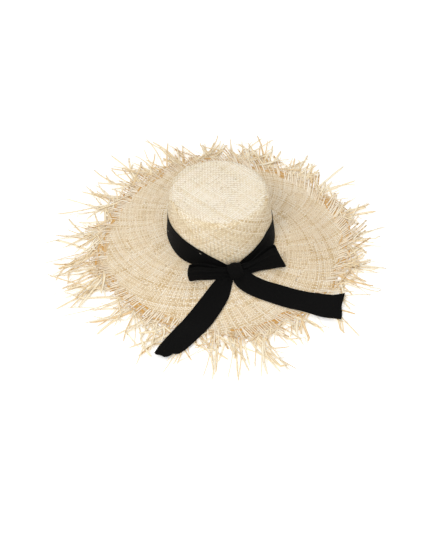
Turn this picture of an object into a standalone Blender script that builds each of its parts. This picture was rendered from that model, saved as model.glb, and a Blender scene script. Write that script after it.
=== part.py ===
"""Straw sun hat with a frayed brim and a black ribbon tied in a bow, as separate pieces.

Metres, +Z up. The origin is the centre of the plane that the brim rests on. The bow is on the
-Y side of the crown. Angles round the crown are in degrees from the bow, positive towards +X.
"""

import math

import bmesh
import bpy
from mathutils import Matrix, Vector

GAP = 0.0003  # kept between separate meshes where the real pieces touch
SEGMENTS = 72  # facets round the crown, the brim and the bands

# Brim: a shallow cone that flattens into a level outer band, on which the hat rests.
BRIM_RADIUS = 0.232  # edge of the close weave
BRIM_LEVEL_RADIUS = 0.208  # where the level outer band starts
BRIM_THICKNESS = 0.0018
BRIM_CURVE = 1.35  # 1 gives a straight cone
JUNCTION_HEIGHT = 0.0285  # top face of the brim where the crown stands on it

# Crown: a tapered wall, a rounded shoulder and a nearly flat tip.
CROWN_RADIUS = 0.0935  # outside, where it meets the brim
CROWN_TAPER = 0.09  # radius lost for each unit of height
CROWN_HEIGHT = 0.091  # above the brim, at the middle of the tip
CROWN_DOME = 0.002
CROWN_THICKNESS = 0.0018
SHOULDER_RADIUS = 0.010
SHOULDER_STEPS = 5

# Fringe: the loose ends of the brim's own straw, in tufts that fill the circle.
TUFTS = 24
TUFT_STRANDS = 5
TUFT_ROOT = 0.005  # depth of the part where a tuft's strands still hold together
TUFT_REACH = 0.305  # radius of the longest strand, at the middle of each tuft
TUFT_THICKNESS = 0.0012
STRAND_BASE_WIDTH = 0.0055
STRAND_TIP_WIDTH = 0.0020
STRAND_SHORTER = (0.030, 0.014, 0.0, 0.021, 0.037)  # how far each strand stops short of the reach
STRAND_LIFT = (0.0010, 0.0030, 0.0005, 0.0025, 0.0015)  # how far each strand's tip stands up

# Ribbon: one width throughout, drawn down and gathered where it goes into the knot.
RIBBON_THICKNESS = 0.0008
BAND_GATHERED = 0.0020  # thickness next to the knot
BAND_LIFT = 0.0006  # bottom edge above the brim
BAND_HEIGHTS = (
    (-180, 0.0435), (-100, 0.0425), (-68, 0.0405), (-48, 0.0355), (-34, 0.0295),
    (-20, 0.0195), (-10, 0.0100), (8, 0.0130), (28, 0.0240), (46, 0.0360),
    (60, 0.0415), (100, 0.0425), (180, 0.0435),
)  # angle, height of the top edge above the brim
GATHER_ANGLE = 40  # the band is gathered within this angle of the bow

KNOT_CENTRE = Vector((0, -0.1085, 0.0325))
KNOT_HALF = Vector((0.0145, 0.0120, 0.0080))
KNOT_TILT = 17  # degrees about X, front end down with the slope of the brim
KNOT_SQUARENESS = 0.75  # 1 gives an ellipsoid, less a squarer lump

# Bow loops: each a strip that runs out, folds round its end and comes back to the knot.
LOOP_START = 0.0155  # distance from the middle of the knot
LOOP_PLANE = -0.1045  # the loops stand on edge in this plane
LOOP_HALF_DEPTH = 0.0045  # half the distance between the two sheets of a loop
LOOP_PINCH_DEPTH = 0.0018  # the same, at the knot
LOOP_PINCH_HEIGHTS = (0.0255, 0.0395)
LOOP_STEPS = 9
FOLD_STEPS = 5
LOOPS = {
    "bow_loop_left": {"side": -1, "reach": (0.079, 0.082), "heights": (0.0268, 0.0620)},
    "bow_loop_right": {"side": 1, "reach": (0.082, 0.064), "heights": (0.0205, 0.0670)},
}  # reach and height of the folded end, at its bottom and at its top

# Ribbon tails: the two edges of each tail as seen from above, from the knot to the cut end.
TAIL_EDGES = {
    "ribbon_tail_left": (
        ((-0.0220, -0.1196), (-0.0405, -0.1180), (-0.0685, -0.1340), (-0.1170, -0.1710),
         (-0.1545, -0.2065), (-0.1760, -0.2260)),
        ((-0.0050, -0.1220), (-0.0160, -0.1310), (-0.0330, -0.1570), (-0.0850, -0.2060),
         (-0.1200, -0.2295), (-0.1500, -0.2370)),
    ),
    "ribbon_tail_right": (
        ((-0.0020, -0.1222), (-0.0020, -0.1385), (0.0170, -0.1640), (0.0560, -0.1900),
         (0.1030, -0.2190), (0.1380, -0.2370)),
        ((0.0170, -0.1200), (0.0300, -0.1275), (0.0466, -0.1390), (0.0860, -0.1610),
         (0.1290, -0.1780), (0.1600, -0.1860)),
    ),
}
TAIL_STATIONS = 16
TAIL_ACROSS = 4  # strips across the width, so that a tail follows the curve of the brim
TAIL_CLEARANCE = 0.0010  # above the brim
TAIL_END_RISE = 0.0030  # more clearance at the cut end, which lies over the fringe

# Each tail lifts about a level line that runs past the front of the knot and its loop.
HINGE_POINT = Vector((-0.0020, -0.1215, 0.0221))

# Sweatband and threads.
SWEATBAND_HEIGHT = 0.030
SWEATBAND_THICKNESS = 0.0009
SWEATBAND_LIFT = 0.0010  # bottom edge above the bottom of the crown's wall
THREAD_RADIUS = 0.00035
STITCH_HEIGHT = 0.0035  # above the sweatband's bottom edge
STITCH_WAVE = 0.0004
STITCH_STEPS = 144
STITCH_LENGTH_STEPS = 4
TACK_LENGTH = 0.0034
TACKS = {
    "ribbon_tack_front": (-37, 0.0250, 35),
    "ribbon_tack_left": (-90, 0.0200, 5),
    "ribbon_tack_right": (90, 0.0200, 5),
    "ribbon_tack_back": (180, 0.0200, 5),
}  # angle round the crown, height above the brim, tilt in degrees

STRAW = ((0.80, 0.68, 0.48), 0.75)
LOOSE_STRAW = ((0.78, 0.62, 0.38), 0.75)
RIBBON = ((0.006, 0.006, 0.006), 0.85)
SWEATBAND = ((0.70, 0.62, 0.50), 0.90)
PALE_THREAD = ((0.80, 0.74, 0.62), 0.80)


def clear_scene():
    for item in list(bpy.data.objects):
        bpy.data.objects.remove(item)


def make_material(name, look):
    colour, roughness = look
    material = bpy.data.materials.new(name)
    material.use_nodes = True
    shader = material.node_tree.nodes["Principled BSDF"]
    shader.inputs["Base Color"].default_value = (*colour, 1)
    shader.inputs["Roughness"].default_value = roughness
    return material


def finish(name, bm, look, origin=(0, 0, 0)):
    """Turns a bmesh in world coordinates into a named object whose origin is where it pivots."""
    bmesh.ops.recalc_face_normals(bm, faces=bm.faces)
    bmesh.ops.translate(bm, verts=bm.verts, vec=-Vector(origin))
    mesh = bpy.data.meshes.new(name)
    bm.to_mesh(mesh)
    bm.free()
    mesh.shade_smooth()
    mesh.set_sharp_from_angle(angle=math.radians(35))
    mesh.materials.append(make_material(name, look))
    made = bpy.data.objects.new(name, mesh)
    made.location = origin
    bpy.context.scene.collection.objects.link(made)
    return made


def around(angle, radius, height):
    """The point at this angle from the bow, radius from the Z axis and height."""
    turn = math.radians(angle)
    return Vector((radius * math.sin(turn), -radius * math.cos(turn), height))


def between(table, at):
    """Straight-line reading of a table of (position, value) pairs in rising order."""
    for (low, first), (high, second) in zip(table, table[1:]):
        if at <= high:
            return first + (second - first) * (at - low) / (high - low)
    return table[-1][1]


def smooth_step(part):
    return part * part * (3 - 2 * part)


def smooth_curve(points, part):
    """Point at a fraction of a smooth curve through a few points (Catmull-Rom)."""
    spans = len(points) - 1
    index = min(int(part * spans), spans - 1)
    t = part * spans - index
    p1, p2 = Vector(points[index]), Vector(points[index + 1])
    p0 = Vector(points[index - 1]) if index > 0 else 2 * p1 - p2
    p3 = Vector(points[index + 2]) if index + 2 <= spans else 2 * p2 - p1
    bend = 2 * p0 - 5 * p1 + 4 * p2 - p3
    return 0.5 * (2 * p1 + (p2 - p0) * t + bend * t * t + (3 * p1 - p0 - 3 * p2 + p3) * t**3)


def brim_top(radius):
    """Height of the brim's top face."""
    inward = (BRIM_LEVEL_RADIUS - radius) / (BRIM_LEVEL_RADIUS - CROWN_RADIUS)
    inward = min(max(inward, 0), 1)
    return BRIM_THICKNESS + (JUNCTION_HEIGHT - BRIM_THICKNESS) * inward**BRIM_CURVE


def wall_radius(height):
    """Outer radius of the crown's wall at a height above the brim."""
    return CROWN_RADIUS - CROWN_TAPER * height


def skin(bm, first, second, closed):
    """Quads or triangles between two rows of vertices. A row of one vertex is a pole."""
    count = max(len(first), len(second))
    for step in range(count if closed else count - 1):
        following = (step + 1) % count
        corners = []
        for row, steps in ((first, (step, following)), (second, (following, step))):
            corners += [row[0]] if len(row) == 1 else [row[i] for i in steps]
        bm.faces.new(corners)


def turned(name, profile, look, looped):
    """Body of revolution about Z, from a looped profile or one that runs from axis to axis."""
    bm = bmesh.new()
    rings = []
    for radius, height in profile:
        steps = SEGMENTS if radius else 1
        rings.append([bm.verts.new(around(360 * i / SEGMENTS, radius, height)) for i in range(steps)])
    for first, second in zip(rings, rings[1:]):
        skin(bm, first, second, True)
    if looped:
        skin(bm, rings[-1], rings[0], True)
    return finish(name, bm, look)


def lofted(name, sections, look, closed, origin=(0, 0, 0)):
    """Body whose skin joins equal cross-sections in order, as a ring or with capped ends."""
    bm = bmesh.new()
    rows = [[bm.verts.new(point) for point in section] for section in sections]
    for first, second in zip(rows, rows[1:]):
        skin(bm, first, second, True)
    if closed:
        skin(bm, rows[-1], rows[0], True)
    else:
        bm.faces.new(rows[0])
        bm.faces.new(rows[-1])
    return finish(name, bm, look, origin)


def make_brim():
    level = (BRIM_LEVEL_RADIUS, (BRIM_LEVEL_RADIUS + BRIM_RADIUS) / 2, BRIM_RADIUS)
    sloping = [CROWN_RADIUS + (BRIM_LEVEL_RADIUS - CROWN_RADIUS) * i / 6 for i in range(6)]
    radii = [CROWN_RADIUS - CROWN_THICKNESS, *sloping, *level]
    top = [(radius, brim_top(radius)) for radius in radii]
    bottom = [(radius, height - BRIM_THICKNESS) for radius, height in reversed(top)]
    turned("brim", top + bottom, STRAW, True)


def crown_side(inset):
    """Half-outline of the crown from the brim to the axis, moved inwards by inset."""
    arc_height = CROWN_HEIGHT - CROWN_DOME - SHOULDER_RADIUS
    arc_centre = wall_radius(arc_height) - SHOULDER_RADIUS
    outline = [(CROWN_RADIUS - inset, JUNCTION_HEIGHT + GAP)]
    for step in range(SHOULDER_STEPS + 1):
        turn = math.pi / 2 * step / SHOULDER_STEPS
        reach = SHOULDER_RADIUS - inset
        radius = arc_centre + reach * math.cos(turn)
        outline.append((radius, JUNCTION_HEIGHT + arc_height + reach * math.sin(turn)))
    tip_edge = outline[-1][1]
    outline.append((arc_centre / 2, tip_edge + CROWN_DOME * 0.75))
    outline.append((0, tip_edge + CROWN_DOME))
    return outline


def make_crown():
    inner = crown_side(CROWN_THICKNESS)
    turned("crown", inner[::-1] + crown_side(0), STRAW, False)


def make_tuft(index):
    """One tuft of the fringe: a flat comb of splayed strands, with the strands' tips raised."""
    span = 360 / TUFTS
    middle = span * index
    edge_gap = math.degrees(GAP / BRIM_RADIUS) / 2
    root = BRIM_RADIUS + GAP
    facet = 360 / SEGMENTS
    low, high = middle - span / 2 + edge_gap, middle + span / 2 - edge_gap
    inner = [low, middle - facet / 2, middle + facet / 2, high]
    outline = [around(angle, root, 0) for angle in inner]
    outline.append(around(high, root + TUFT_ROOT, 0))
    lifts = [0] * len(outline)
    for strand in reversed(range(TUFT_STRANDS)):
        offset = (strand - (TUFT_STRANDS - 1) / 2) * span / TUFT_STRANDS
        sway = 1.2 * math.sin(2.1 * index + 1.7 * strand) if STRAND_SHORTER[strand] else 0
        reach = TUFT_REACH - STRAND_SHORTER[strand]
        base = math.degrees(STRAND_BASE_WIDTH / 2 / root)
        tip = math.degrees(STRAND_TIP_WIDTH / 2 / reach)
        outline.append(around(middle + offset + base, root + TUFT_ROOT, 0))
        outline.append(around(middle + offset + sway + tip, reach, 0))
        outline.append(around(middle + offset + sway - tip, reach, 0))
        outline.append(around(middle + offset - base, root + TUFT_ROOT, 0))
        lifts += [0, STRAND_LIFT[strand], STRAND_LIFT[strand], 0]
    outline.append(around(low, root + TUFT_ROOT, 0))
    lifts.append(0)
    bm = bmesh.new()
    floor = [bm.verts.new(point + Vector((0, 0, GAP))) for point in outline]
    bm.faces.new(floor)
    bmesh.ops.triangulate(bm, faces=bm.faces, ngon_method="EAR_CLIP")
    grown = bmesh.ops.extrude_face_region(bm, geom=list(bm.faces), use_keep_orig=True)
    upper = [item for item in grown["geom"] if isinstance(item, bmesh.types.BMVert)]
    bmesh.ops.translate(bm, verts=upper, vec=(0, 0, TUFT_THICKNESS))
    for vert, lift in zip(floor, lifts):
        partners = [v for v in upper if (v.co.xy - vert.co.xy).length < GAP / 10]
        for moved in (vert, *partners):
            moved.co.z += lift
    finish(f"fringe_tuft_{index + 1:02d}", bm, LOOSE_STRAW)


def band_thickness(angle):
    near = max(0, 1 - abs(angle) / GATHER_ANGLE)
    return RIBBON_THICKNESS + (BAND_GATHERED - RIBBON_THICKNESS) * smooth_step(near)


def make_ribbon_band():
    sections = []
    for step in range(SEGMENTS):
        angle = 360 * step / SEGMENTS - 180
        thick = band_thickness(angle)
        section = []
        for height in (BAND_LIFT, between(BAND_HEIGHTS, angle)):
            inner = wall_radius(height) + GAP
            pair = [around(angle, inner, 0), around(angle, inner + thick, 0)]
            for point in pair:
                point.z = JUNCTION_HEIGHT + height
            section += pair if height == BAND_LIFT else pair[::-1]
        sections.append(section)
    lofted("ribbon_band", sections, RIBBON, True)


def make_sweatband():
    sections = []
    for step in range(SEGMENTS):
        angle = 360 * step / SEGMENTS
        section = []
        for height in (SWEATBAND_LIFT, SWEATBAND_LIFT + SWEATBAND_HEIGHT):
            outer = wall_radius(height) - CROWN_THICKNESS - GAP
            radii = (outer, outer - SWEATBAND_THICKNESS)
            if height > SWEATBAND_LIFT:
                radii = radii[::-1]
            section += [around(angle, radius, JUNCTION_HEIGHT + height) for radius in radii]
        sections.append(section)
    lofted("sweatband", sections, SWEATBAND, True)


def make_sweatband_stitching():
    """The visible run of the thread inside the sweatband, rising and sinking at each stitch."""
    height = SWEATBAND_LIFT + STITCH_HEIGHT
    face = wall_radius(height) - CROWN_THICKNESS - SWEATBAND_THICKNESS - 2 * GAP
    sections = []
    for step in range(STITCH_STEPS):
        rise = 0.5 - 0.5 * math.cos(2 * math.pi * step / STITCH_LENGTH_STEPS)
        centre = face - GAP - THREAD_RADIUS - STITCH_WAVE * rise
        section = []
        for corner in range(4):
            turn = math.pi / 2 * corner
            radius = centre + THREAD_RADIUS * math.cos(turn)
            level = JUNCTION_HEIGHT + height + THREAD_RADIUS * math.sin(turn)
            section.append(around(360 * step / STITCH_STEPS, radius, level))
        sections.append(section)
    lofted("sweatband_stitching", sections, PALE_THREAD, True)


def make_tack(name, angle, height, tilt):
    """A short thread over the ribbon band, which holds it to the crown."""
    face = wall_radius(height) + GAP + band_thickness(angle)
    centre = around(angle, face + GAP + THREAD_RADIUS * 1.5, JUNCTION_HEIGHT + height)
    place = Matrix.Translation(centre) @ Matrix.Rotation(math.radians(angle), 4, "Z")
    place = place @ Matrix.Rotation(math.radians(tilt), 4, "Y")
    size = Matrix.Diagonal((TACK_LENGTH, 2 * THREAD_RADIUS, 2 * THREAD_RADIUS, 1))
    bm = bmesh.new()
    bmesh.ops.create_cube(bm, size=1, matrix=place @ size)
    bmesh.ops.bevel(bm, geom=bm.edges[:], offset=THREAD_RADIUS / 2, segments=1, affect="EDGES")
    finish(name, bm, PALE_THREAD)


def make_knot():
    """A squarish rounded lump, lying on the slope of the brim against the band."""
    bm = bmesh.new()
    bmesh.ops.create_uvsphere(bm, u_segments=24, v_segments=12, radius=1)
    for vert in bm.verts:
        squarer = [math.copysign(abs(value) ** KNOT_SQUARENESS, value) for value in vert.co]
        vert.co = Vector(value * half for value, half in zip(squarer, KNOT_HALF))
    place = Matrix.Translation(KNOT_CENTRE) @ Matrix.Rotation(math.radians(KNOT_TILT), 4, "X")
    bmesh.ops.transform(bm, matrix=place, verts=bm.verts)
    finish("bow_knot", bm, RIBBON)


def loop_path():
    """Fractions along and across a loop, out on the back sheet, round the fold and back."""
    out = [(i / LOOP_STEPS, -1) for i in range(LOOP_STEPS)]
    turns = [math.pi * i / FOLD_STEPS for i in range(FOLD_STEPS + 1)]
    fold = [(1 + 0.05 * math.sin(turn), -math.cos(turn)) for turn in turns]
    back = [(along, 1) for along, _ in reversed(out)]
    return out + fold + back


def make_loop(name, side, reach, heights):
    """A strip of ribbon on edge. Its inner line is the same path with less depth and length."""
    sections = []
    path = loop_path()
    for along, across in path:
        spread = smooth_step(min(along, 1))
        depth = LOOP_PINCH_DEPTH + (LOOP_HALF_DEPTH - LOOP_PINCH_DEPTH) * spread
        section = []
        for level in (0, 1):
            height = LOOP_PINCH_HEIGHTS[level] * (1 - spread) + heights[level] * spread
            for inset in ((0, RIBBON_THICKNESS) if level == 0 else (RIBBON_THICKNESS, 0)):
                length = reach[level] - LOOP_START - (inset if along >= 1 else 0)
                x = side * (LOOP_START + length * along)
                y = LOOP_PLANE - across * (depth - inset)
                section.append((x, y, height))
        sections.append(section)
    lofted(name, sections, RIBBON, False)


def make_tail(name, edges):
    """A ribbon tail laid on the brim, lofted between the curves of its two edges."""
    sections = []
    for station in range(TAIL_STATIONS + 1):
        part = station / TAIL_STATIONS
        ends = [smooth_curve(edge, part) for edge in edges]
        rise = TAIL_CLEARANCE + TAIL_END_RISE * part**3
        lower = []
        for strip in range(TAIL_ACROSS + 1):
            spot = ends[0].lerp(ends[1], strip / TAIL_ACROSS)
            lower.append(Vector((*spot, brim_top(spot.length) + rise)))
        upper = [point + Vector((0, 0, RIBBON_THICKNESS)) for point in reversed(lower)]
        sections.append(lower + upper)
    lofted(name, sections, RIBBON, False, HINGE_POINT)


def main():
    clear_scene()
    make_brim()
    make_crown()
    for index in range(TUFTS):
        make_tuft(index)
    make_sweatband()
    make_sweatband_stitching()
    make_ribbon_band()
    for name, place in TACKS.items():
        make_tack(name, *place)
    make_knot()
    for name, shape in LOOPS.items():
        make_loop(name, **shape)
    for name, edges in TAIL_EDGES.items():
        make_tail(name, edges)


main()
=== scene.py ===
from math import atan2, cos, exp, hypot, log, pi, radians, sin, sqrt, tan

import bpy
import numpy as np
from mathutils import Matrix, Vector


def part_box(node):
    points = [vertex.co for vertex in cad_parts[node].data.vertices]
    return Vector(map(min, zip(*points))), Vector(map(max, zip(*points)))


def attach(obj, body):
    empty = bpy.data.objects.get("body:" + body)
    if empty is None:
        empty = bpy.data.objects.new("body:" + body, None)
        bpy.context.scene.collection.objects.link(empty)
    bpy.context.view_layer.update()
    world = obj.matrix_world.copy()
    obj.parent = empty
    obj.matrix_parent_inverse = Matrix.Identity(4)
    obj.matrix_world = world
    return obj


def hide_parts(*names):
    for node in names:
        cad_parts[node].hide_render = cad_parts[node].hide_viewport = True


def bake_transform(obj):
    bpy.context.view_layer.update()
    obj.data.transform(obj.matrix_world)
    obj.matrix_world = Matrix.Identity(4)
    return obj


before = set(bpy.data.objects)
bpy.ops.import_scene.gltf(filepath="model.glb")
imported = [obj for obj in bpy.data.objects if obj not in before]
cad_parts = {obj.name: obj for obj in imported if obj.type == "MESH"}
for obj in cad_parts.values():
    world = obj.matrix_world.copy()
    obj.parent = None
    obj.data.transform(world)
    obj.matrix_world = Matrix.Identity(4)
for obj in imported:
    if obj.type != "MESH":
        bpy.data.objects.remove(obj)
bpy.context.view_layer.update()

# Looks of a straw sun hat with a black ribbon bow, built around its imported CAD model.
#
# Metres, +Z up, the bow towards -Y. Angles round the crown are in radians from the bow, positive
# towards +X. The straw is laid strand by strand, over and under, and the ribbon is thin closed
# sheets. Every random draw is seeded.

TURN = 2 * pi

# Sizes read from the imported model.
BRIM_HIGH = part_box("brim")[1]
CROWN_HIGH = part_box("crown")[1]
KNOT_LOW, KNOT_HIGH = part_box("bow_knot")
SWEAT_LOW, SWEAT_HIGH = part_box("sweatband")
BRIM_RADIUS = BRIM_HIGH.x
JUNCTION = BRIM_HIGH.z  # top of the brim at the foot of the crown
CROWN_RADIUS = CROWN_HIGH.x
CROWN_TOP = CROWN_HIGH.z

SEEDS = {  # of the random draws
    "rings": 11, "spokes": 12, "spots": 77, "crown": 21, "fringe": 31, "tufts": 100,
    "left": 41, "right": 42, "fray": 43, "stitches": 51, "tacks": 61,
}

# Shape of the straw shell, as in the CAD part.
SHELL = 0.0018
LEVEL_RADIUS = 0.208
BRIM_CURVE = 1.35
CROWN_TAPER = 0.09
CROWN_DOME = 0.002
SHOULDER = 0.01
# How the visible straw differs from it.
TOP_MARGIN = 0.0003  # the visible crown is this much lower
BRIM_WAVE = 0.0024  # the soft brim rises in places, most of all at its edge
CROWN_DENTS = 0.0005
CROWN_LEAN = (-0.0026, 0.0026, 0.0)  # of the tip: a soft crown never stands quite straight

# Weave. The brim's two families of strands cross at right angles, turned by LEAN from the rings
# and spokes of a wheel. New strands start where a zone does.
PITCH = 0.00275
LEAN = radians(20)
LEAN_SWING, LEAN_PLACE = 2.2, 0.2  # more lean on the right: radians for each metre outwards, and angle
BRIM_ZONES = (  # inner radius, outer radius, radius where strands are PITCH apart
    (0.092, 0.124, 0.107), (0.124, 0.167, 0.144), (0.167, 0.264, 0.193),
)
INNERMOST = 0.0905  # radius that no strand of the brim passes
STRAW_THICKNESS = 0.00026
WEAVE_LIFT = 0.00036  # how far a strand rises and sinks at its crossings
CLOSE_EDGE = 0.2155  # mean radius where the close weave ends
EDGE_SWELLS = (  # angle, width, how much further out the close weave ends there
    (-2.1, 0.45, -0.014), (-0.2, 0.3, 0.0075), (1.4, 0.45, 0.011), (2.5, 0.35, -0.0075),
)
LOOSE_PATCH = (1.35, 0.55)  # angle and width of the looser weave on the right
# Golden arcs lie along the edge of the close weave, pale bars cross it. The arcs' dark golden colour is
# partly real straw colour and partly painted shade and light through straw, seen in the gaps of the loose
# weave.
ARC_ROWS, ARC_INSET, ARC_STEP = 5, 0.01, 0.0036
ARC_LENGTH, ARC_GAP = (0.05, 0.22), (0.01, 0.05)  # radians
ARC_WIDTH, ARC_LIFT = (0.0024, 0.0036), 0.0007
BARS = 350
BAR_START = -0.015  # from the edge of the close weave
BAR_END = (0.001, 0.011, 0.036)  # least, mean of what is more, most
BAR_TURN = 1.69  # radians for each metre outwards, as LEAN gives at the edge
BAR_WIDTH = (0.0017, 0.0029)
BAR_ARCH = 0.0013 * np.array([-0.4, 0.7, 1.0, 1.0, 0.9, 0.7, 0.4])  # height along a bar
WALL_STRANDS = 86  # in each of the two slanting directions
WALL_SLANT = radians(31)  # above level
WALL_RADIUS = 0.09  # mean
TIP_PITCH = 0.0034
TIP_TURN = 0.55
TIP_LAP = 0.004  # how far the flat weave of the tip runs on over the shoulder

# Fringe.
TUFTS = 24
BUNCHES, EDGE_ENDS, HAIRS = 5, 6, 5  # in each tuft
BUNCH_LENGTH = (0.038, 0.028, 0.092)  # least, mean of what is more, most
EDGE_END_LENGTH, HAIR_LENGTH = (0.024, 0.066), (0.034, 0.085)
BROAD, NARROW, HAIR_WIDTH = (0.0032, 0.0044), (0.0018, 0.0032), (0.0004, 0.0007)
KINKED = 0.28  # share of the ends that have a kink
FRINGE_LIMIT = 0.321  # radius

# Ribbon.
RIBBON_WIDTH = 0.046
CLOTH = 0.0005  # thickness
BAND_BOTTOM = 0.0006
BAND_TOP = (  # degrees from the bow, height of the upper edge above the foot of the crown
    (-180, 0.0435), (-100, 0.0425), (-68, 0.0405), (-48, 0.0355), (-34, 0.029), (-20, 0.018),
    (-12, 0.0095), (-6, 0.0005), (1, 0.0035), (8, 0.0115), (28, 0.025), (46, 0.035),
    (58, 0.033), (74, 0.0255), (95, 0.027), (130, 0.039), (180, 0.0435),
)
# Beside the bow the ribbon is pulled forward: angle, width, how far the lower edge stands off.
BAND_SLACK = ((0.76, 0.34, 0.0066), (-0.9, 0.4, 0.0062))
KNOT_TILT = radians(17)
KNOT_DEPTH, KNOT_RISE = 0.0136, 0.01
KNOT_LIP = np.array([0.26, 0.45, 0.66, 0.86])  # how open its ends are, from the hole outwards
TAIL_EDGES = {  # (x, y) along each long edge, from the knot to the cut end
    "left": (
        ((-0.014, -0.108), (-0.038, -0.111), (-0.075, -0.1385), (-0.124, -0.1785),
         (-0.1575, -0.208), (-0.176, -0.2285)),
        ((-0.008, -0.109), (-0.015, -0.125), (-0.034, -0.156), (-0.08, -0.2),
         (-0.128, -0.234), (-0.158, -0.24)),
    ),
    "right": (
        ((-0.009, -0.113), (-0.0115, -0.1285), (0.006, -0.1515), (0.045, -0.179),
         (0.085, -0.206), (0.11, -0.227), (0.138, -0.24)),
        ((0.014, -0.111), (0.03, -0.124), (0.05, -0.136), (0.085, -0.156),
         (0.118, -0.1725), (0.141, -0.185), (0.16, -0.191)),
    ),
}
TAIL_ROWS, TAIL_COLUMNS = 90, 24
LOOPS = {  # pairs: lower and upper edge, except lean, which is at the root and at the far end
    "left": {
        "side": -1, "reach": (0.0825, 0.0812), "heights": (0.031, 0.0595), "pinch": (0.0205, 0.0385),
        "hollow": -0.0022, "full": 0.9, "lean": (0.0095, 0.003),
    },
    "right": {
        "side": 1, "reach": (0.08, 0.064), "heights": (0.0248, 0.067), "pinch": (0.0215, 0.0395),
        "hollow": 0.0006, "full": 1.2, "lean": (0.0085, 0.0085),
    },
}
LOOP_PLANE, LOOP_ROOT = -0.1045, 0.0155  # y of a loop's middle, and distance of its root from x = 0
LOOP_SAG, SAG_WAY = 0.0055, (0.2, 0.7, -0.69)
END_THREADS, SIDE_THREADS = 34, 150  # of each tail

# Sweatband and tacks.
STITCHES = 126
TACK_LENGTH = 0.0034


# ------------ camera, light and floor

SCENE = bpy.context.scene


def in_scene(name, data):
    thing = bpy.data.objects.new(name, data)
    SCENE.collection.objects.link(thing)
    return thing


def aim(thing, place, way):
    thing.location = place
    thing.rotation_euler = way.to_track_quat("-Z", "Y").to_euler()


def make_camera():
    turn, rise, distance = radians(-16), radians(43.5), 2.215
    level = cos(rise)
    towards = Vector((sin(turn) * level, -cos(turn) * level, sin(rise)))
    data = bpy.data.cameras.new("camera")
    data.lens = 85
    data.shift_x = -0.0102
    data.shift_y = -0.0736
    camera = in_scene("camera", data)
    aim(camera, Vector((0, 0, JUNCTION)) + towards * distance, -towards)
    SCENE.camera = camera


def make_light(name, place, size, power):
    data = bpy.data.lights.new(name, "AREA")
    data.shape = "DISK"
    data.size = size
    data.energy = power
    aim(in_scene(name, data), place, Vector((0, 0, 0.03)) - Vector(place))


def make_stage():
    world = bpy.data.worlds.new("world")
    SCENE.world = world
    world.use_nodes = True
    background = world.node_tree.nodes["Background"]
    background.inputs["Color"].default_value = (1.0, 0.995, 0.985, 1)
    background.inputs["Strength"].default_value = 0.66
    make_light("key", (-1.5, -1.2, 2.4), 0.9, 30)
    make_light("top", (0.6, 0.9, 2.6), 2.0, 16)
    make_light("front", (-0.5, -2.6, 1.3), 1.6, 14)
    SCENE.view_settings.view_transform = "Standard"
    mesh = bpy.data.meshes.new("floor")
    half = 6
    corners = [(-half, -half, 0), (half, -half, 0), (half, half, 0), (-half, half, 0)]
    mesh.from_pydata(corners, [], [(0, 1, 2, 3)])
    floor = in_scene("floor", mesh)
    floor.location.z = -0.0004  # just under the lowest straw
    paint = Look("floor", roughness=0.9, specular=0.2)
    grain = paint.noise(None, 3.0, 2.0)
    tint = paint.ramp(grain, ((0.3, (0.9, 0.9, 0.895)), (0.7, (0.92, 0.92, 0.915))))
    paint.link(tint, "Base Color")
    paint.shader.inputs["Emission Color"].default_value = (1, 1, 1, 1)
    paint.shader.inputs["Emission Strength"].default_value = 0.3
    mesh.materials.append(paint.material)


# ------------ materials

class Look:
    """A procedural material with one Principled shader."""

    def __init__(self, name, roughness, specular=0.5, sheen=0.0):
        self.material = bpy.data.materials.new(name)
        self.material.use_nodes = True
        self.tree = self.material.node_tree
        self.shader = self.tree.nodes["Principled BSDF"]
        self.shader.inputs["Roughness"].default_value = roughness
        self.shader.inputs["Specular IOR Level"].default_value = specular
        self.shader.inputs["Sheen Weight"].default_value = sheen

    def add(self, kind, inputs=None, **settings):
        node = self.tree.nodes.new("ShaderNode" + kind)
        for key, value in settings.items():
            setattr(node, key, value)
        for key, value in (inputs or {}).items():
            if isinstance(value, bpy.types.NodeSocket):
                self.tree.links.new(value, node.inputs[key])
            else:
                node.inputs[key].default_value = value
        return node

    def link(self, output, name):
        self.tree.links.new(output, self.shader.inputs[name])

    def attribute(self, name, output):
        return self.add("Attribute", attribute_name=name).outputs[output]

    def maths(self, operation, first, second=0.0, clamp=False):
        return self.add("Math", {0: first, 1: second}, operation=operation, use_clamp=clamp).outputs[0]

    def times(self, first, second):
        return self.maths("MULTIPLY", first, second)

    def vector(self, x, y, z):
        return self.add("CombineXYZ", {0: x, 1: y, 2: z}).outputs[0]

    def noise(self, vector, scale, detail, **more):
        inputs = {"Scale": scale, "Detail": detail, **more}
        if vector is not None:
            inputs["Vector"] = vector
        return self.add("TexNoise", inputs).outputs["Fac"]

    def ramp(self, value, stops):
        node = self.add("ValToRGB", {"Fac": value})
        points = node.color_ramp.elements
        while len(points) < len(stops):
            points.new(0.5)
        for point, (place, colour) in zip(points, stops):
            point.position = place
            point.color = (*colour, 1)
        return node.outputs["Color"]

    def mix(self, part, first, second):
        first, second = ((*value, 1) if isinstance(value, tuple) else value for value in (first, second))
        return self.add("Mix", {"Factor": part, 6: first, 7: second}, data_type="RGBA").outputs[2]

    def bump(self, height, strength, distance):
        node = self.add("Bump", {"Height": height, "Strength": strength, "Distance": distance})
        self.link(node.outputs["Normal"], "Normal")


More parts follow.
